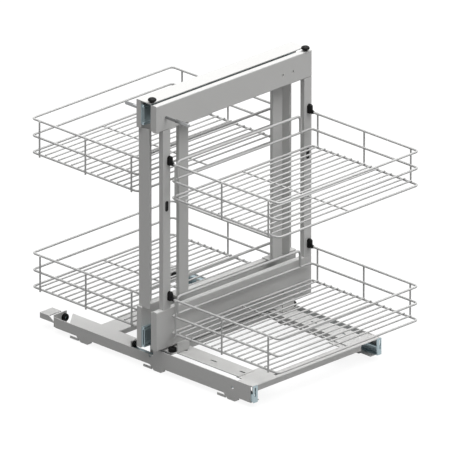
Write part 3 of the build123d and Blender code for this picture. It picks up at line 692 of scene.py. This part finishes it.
@dataclass(frozen=True)
class Fasteners:
    """Screws and rivets, each with its real head. The guide rivets' x runs from the middle of their box."""

    shank_radius: float = 2.5
    rivet_radius: float = 4.0
    rivet_head: float = 2.0
    screw_radius: float = 4.5
    screw_head: float = 3.0
    screw_pitch: float = 22.0
    guide_rivets_x: tuple[float, ...] = (-243.0, -81.0, 81.0, 243.0)

    def build(self, finishes: Finishes) -> None:
        """Build every screw and rivet."""
        self._slide_rivets(finishes)
        self._guide_rivets(finishes)
        self._foot_screws(finishes)

    def _rivet(self, piece: Piece, seat: Seat, shank: float) -> None:
        """Add a domed rivet with a dimple in its head; its shank goes back by the given length."""
        stem, full, head = self.shank_radius, self.rivet_radius, self.rivet_head
        piece.turned(seat, [(stem, -shank), (stem, 0.0), (full, 0.0), (full, head * 0.3),
                            (full * 0.88, head * 0.66), (full * 0.62, head * 0.93), (full * 0.42, head),
                            (full * 0.3, head * 0.8), (full * 0.1, head * 0.7)], 28)

    def _slide_rivets(self, finishes: Finishes) -> None:
        """Build the rivets that hold the slides to the beams."""
        low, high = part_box("slide_rivets")
        piece = Piece("domed_slide_rivets")
        edge = self.rivet_radius * MM
        shank = (high.x - low.x) / MM - self.rivet_head
        step = (high.y - low.y - 2 * edge) / 3
        for level_z in (low.z + edge, high.z - edge):
            for number in range(4):
                point = Vector((low.x + self.rivet_head * MM, low.y + edge + number * step, level_z))
                self._rivet(piece, Seat(point, Vector((-1, 0, 0))), shank)
        piece.finish(Body.CARRIAGE, Slot.ZINC, finishes.by_slot[Slot.ZINC], "slide_rivets")

    def _guide_rivets(self, finishes: Finishes) -> None:
        """Build the rivets that hold the guide rails to the base."""
        low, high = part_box("guide_rivets")
        piece = Piece("domed_guide_rivets")
        edge = self.rivet_radius * MM
        middle_x = (low.x + high.x) / 2
        shank = (high.z - low.z) / MM - self.rivet_head
        for rivet_x in self.guide_rivets_x:
            for rivet_y in (low.y + edge, high.y - edge):
                point = Vector((middle_x + rivet_x * MM, rivet_y, low.z + self.rivet_head * MM))
                self._rivet(piece, Seat(point, Vector((0, 0, -1)), Vector((0, 1, 0))), shank)
        piece.finish(Body.BASE, Slot.ZINC, finishes.by_slot[Slot.ZINC], "guide_rivets")

    def _foot_screws(self, finishes: Finishes) -> None:
        """Build the screws that hold the lower beam to the feet."""
        low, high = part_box("foot_screws")
        piece = Piece("cross_head_screws")
        stem, full, head = self.shank_radius, self.screw_radius, self.screw_head
        edge = full * MM
        sections = [(Outlines.circle(stem), head - (high.z - low.z) / MM), (Outlines.circle(stem), 0.0),
                    (Outlines.circle(full), 0.0), (Outlines.circle(full), 1.1),
                    (Outlines.circle(full * 0.9), 2.1), (Outlines.circle(full * 0.72), 2.7),
                    (Outlines.cross(full * 0.55, full * 0.13), head),
                    (Outlines.cross(full * 0.42, full * 0.09), 1.0)]
        for edge_y, inward in ((low.y + edge, 1.0), (high.y - edge, -1.0)):
            for number in range(2):
                point = Vector(((low.x + high.x) / 2, edge_y + inward * number * self.screw_pitch * MM,
                                high.z - head * MM))
                piece.loft(Seat(point, Vector((0, 0, 1)), Vector((0, 1, 0))), sections)
        piece.finish(Body.CARRIAGE, Slot.ZINC, finishes.by_slot[Slot.ZINC], "foot_screws")


@dataclass(frozen=True)
class BasketWelds:
    """The spot welds where a basket's wires cross, coated over with the wires."""

    node: str
    body: Body
    turned: bool
    width: float = 322.0
    depth: float = 424.0
    rims: tuple[float, ...] = (0.0, 39.0, 78.0)
    floor_count: int = 15
    floor_pitch: float = 20.0
    uprights: tuple[float, ...] = (15.0, 155.0, 295.0)
    upright_out: float = 2.3
    hoops: tuple[float, float] = (17.0, 34.0)
    rim_radius: float = 2.5
    rim_lift: float = 4.0
    floor_lift: float = 2.2
    end_bead: Radii = (2.5, 1.9, 1.2)
    middle_bead: Radii = (2.3, 2.3, 1.0)
    upright_bead: Radii = (2.3, 1.0, 2.1)
    hoop_bead: Radii = (2.6, 3.4, 2.6)

    def build(self, finishes: Finishes) -> None:
        """Build the welds of one basket."""
        low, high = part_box(self.node)
        piece = Piece(f"{self.node}_welds")
        outer_x = low.x if self.turned else high.x
        side = -1.0 if self.turned else 1.0
        middle_y = (low.y + high.y) / 2
        base_z = low.z + self.rim_lift * MM
        for x, y, z, radii in self._spots():
            across = outer_x - side * (self.width + self.rim_radius - x) * MM
            along = middle_y + side * (y - self.depth / 2) * MM
            piece.bead(Vector((across, along, base_z + z * MM)), Vector(radii))
        piece.finish(self.body, Slot.WIRE, finishes.by_slot[Slot.WIRE])

    def _spots(self) -> Iterator[tuple[float, float, float, Radii]]:
        """Yield each weld's place from the basket's near frame-side corner, and its radii."""
        first = (self.width - (self.floor_count - 1) * self.floor_pitch) / 2
        for number in range(self.floor_count):
            floor_x = first + number * self.floor_pitch
            for end_y in (0.0, self.depth):
                yield floor_x, end_y, self.floor_lift, self.end_bead
            yield floor_x, self.depth / 2, self.floor_lift, self.middle_bead
        for upright_x in self.uprights:
            for rim_z in self.rims:
                yield upright_x, -self.upright_out, rim_z, self.upright_bead
                yield upright_x, self.depth + self.upright_out, rim_z, self.upright_bead
        near_hoop, far_hoop = self.hoops
        for hoop_y in (near_hoop, self.depth - far_hoop):
            yield 0.0, hoop_y, self.rims[1], self.hoop_bead


class Details:
    """Every detailed piece of the object."""

    def __init__(self) -> None:
        """List the pieces."""
        outward = Vector((1.0, 0.0, 0.0))
        self.parts = [
            Knobs(), BasketClips(), PostPlugs(), Pegs(), Fasteners(),
            RubberBuffer("end_bumpers", "ringed_end_bumpers", Body.BASE, outward),
            RubberBuffer("rest_buffers", "ringed_rest_buffers", Body.BASE, outward, 2.0),
            RubberBuffer("foot_buffers", "ringed_foot_buffers", Body.CARRIAGE, Vector((0.0, 0.0, 1.0))),
            BasketWelds("front_upper_basket", Body.FRONT, False),
            BasketWelds("front_lower_basket", Body.FRONT, False),
            BasketWelds("rear_upper_basket", Body.CARRIAGE, True),
            BasketWelds("rear_lower_basket", Body.CARRIAGE, True),
        ]

    def build(self, finishes: Finishes) -> None:
        """Build them all."""
        for part in self.parts:
            part.build(finishes)


@dataclass
class PhotoCamera:
    """A camera that looks at the object as the photograph does."""

    azimuth: float = 45.0
    elevation: float = 22.1
    distance: float = 40.0
    target: Vector = field(default_factory=lambda: Vector((0.001, 0.001, 0.2746)))
    view_width: float = 0.9657
    sensor: float = 36.0

    def build(self) -> None:
        """Make the camera and set it as the scene's."""
        data = bpy.data.cameras.new("photo_camera")
        data.sensor_width = self.sensor
        data.lens = self.sensor * self.distance / self.view_width
        data.clip_start, data.clip_end = 1.0, 100.0
        turn, rise = math.radians(self.azimuth), math.radians(self.elevation)
        back = Vector((math.sin(turn) * math.cos(rise), -math.cos(turn) * math.cos(rise), math.sin(rise)))
        camera = bpy.data.objects.new("photo_camera", data)
        camera.location = self.target + back * self.distance
        camera.rotation_mode = "QUATERNION"
        camera.rotation_quaternion = (-back).to_track_quat("-Z", "Y")
        bpy.context.scene.collection.objects.link(camera)
        bpy.context.scene.camera = camera
        LOG.info("camera: %.0f mm lens", data.lens)


@dataclass
class Studio:
    """A floor that shows white, under soft overhead light."""

    floor_size: float = 60.0
    overhead: float = 4.3
    overhead_angle: float = 75.0
    overhead_toward: tuple[float, float, float] = (0.15, 0.12, 1.0)
    sky: float = 0.24
    floor_tone: float = 0.13
    floor_glow: float = 0.90

    def build(self) -> None:
        """Build the floor, the lamp and the world."""
        self._floor()
        self._lamp()
        self._world()

    def _floor(self) -> None:
        """Lay a floor that shows white, with only a faint shadow on it."""
        shape = bmesh.new()
        bmesh.ops.create_grid(shape, x_segments=1, y_segments=1, size=self.floor_size / 2)
        mesh = bpy.data.meshes.new("floor")
        shape.to_mesh(mesh)
        shape.free()
        floor = bpy.data.objects.new("floor", mesh)
        bpy.context.scene.collection.objects.link(floor)
        mesh.materials.append(self._floor_material())

    def _floor_material(self) -> bpy.types.Material:
        """Build a floor that looks white with a faint shadow, and throws back little light on the object.

        Returns:
            The floor's material.
        """
        material = bpy.data.materials.new("studio_floor")
        material.use_nodes = True
        tree = material.node_tree
        shader = tree.nodes["Principled BSDF"]
        shader.inputs["Roughness"].default_value = 0.9
        shader.inputs["Specular IOR Level"].default_value = 0.0
        shader.inputs["Base Color"].default_value = (self.floor_tone, self.floor_tone, self.floor_tone, 1.0)
        shader.inputs["Emission Color"].default_value = (1.0, 1.0, 1.0, 1.0)
        glow = tree.nodes.new("ShaderNodeMath")
        glow.operation = "MULTIPLY"
        glow.inputs[1].default_value = self.floor_glow
        tree.links.new(self._seen(tree), glow.inputs[0])
        tree.links.new(glow.outputs[0], shader.inputs["Emission Strength"])
        return material

    @staticmethod
    def _seen(tree: bpy.types.ShaderNodeTree) -> bpy.types.NodeSocket:
        """Add the camera, glossy and transmission rays.

        Args:
            tree: The tree that takes the nodes.

        Returns:
            A socket that is 1 for those rays and 0 for the others.
        """
        path = tree.nodes.new("ShaderNodeLightPath")
        first = tree.nodes.new("ShaderNodeMath")
        first.operation = "MAXIMUM"
        second = tree.nodes.new("ShaderNodeMath")
        second.operation = "MAXIMUM"
        tree.links.new(path.outputs["Is Camera Ray"], first.inputs[0])
        tree.links.new(path.outputs["Is Glossy Ray"], first.inputs[1])
        tree.links.new(first.outputs[0], second.inputs[0])
        tree.links.new(path.outputs["Is Transmission Ray"], second.inputs[1])
        return second.outputs[0]

    def _lamp(self) -> None:
        """Hang one broad lamp overhead, a little to the door side."""
        data = bpy.data.lights.new("overhead", "SUN")
        data.energy = self.overhead
        data.angle = math.radians(self.overhead_angle)
        lamp = bpy.data.objects.new("overhead", data)
        lamp.rotation_mode = "QUATERNION"
        lamp.rotation_quaternion = Vector(self.overhead_toward).to_track_quat("Z", "Y")
        bpy.context.scene.collection.objects.link(lamp)

    def _world(self) -> None:
        """Surround the object with even light that shows white."""
        world = bpy.data.worlds.new("studio")
        world.use_nodes = True
        bpy.context.scene.world = world
        tree = world.node_tree
        strength = tree.nodes.new("ShaderNodeMapRange")
        strength.inputs["To Min"].default_value = self.sky
        strength.inputs["To Max"].default_value = 1.0
        tree.links.new(self._seen(tree), strength.inputs["Value"])
        background = tree.nodes["Background"]
        background.inputs["Color"].default_value = (1.0, 1.0, 1.0, 1.0)
        tree.links.new(strength.outputs["Result"], background.inputs["Strength"])


def main() -> None:
    """Load the frame, dress it and set the stage."""
    logging.basicConfig(level=logging.INFO, format="%(name)s %(message)s")
    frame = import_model()
    finishes = Finishes()
    for entry in frame["record"]["subparts"]:
        finishes.dress_node(frame["nodes"][entry["node"]], Slot(entry["material_slot"]))
    Details().build(finishes)
    Studio().build()
    PhotoCamera().build()
    bpy.context.scene.view_settings.view_transform = "Standard"


if __name__ == "__main__":
    main()
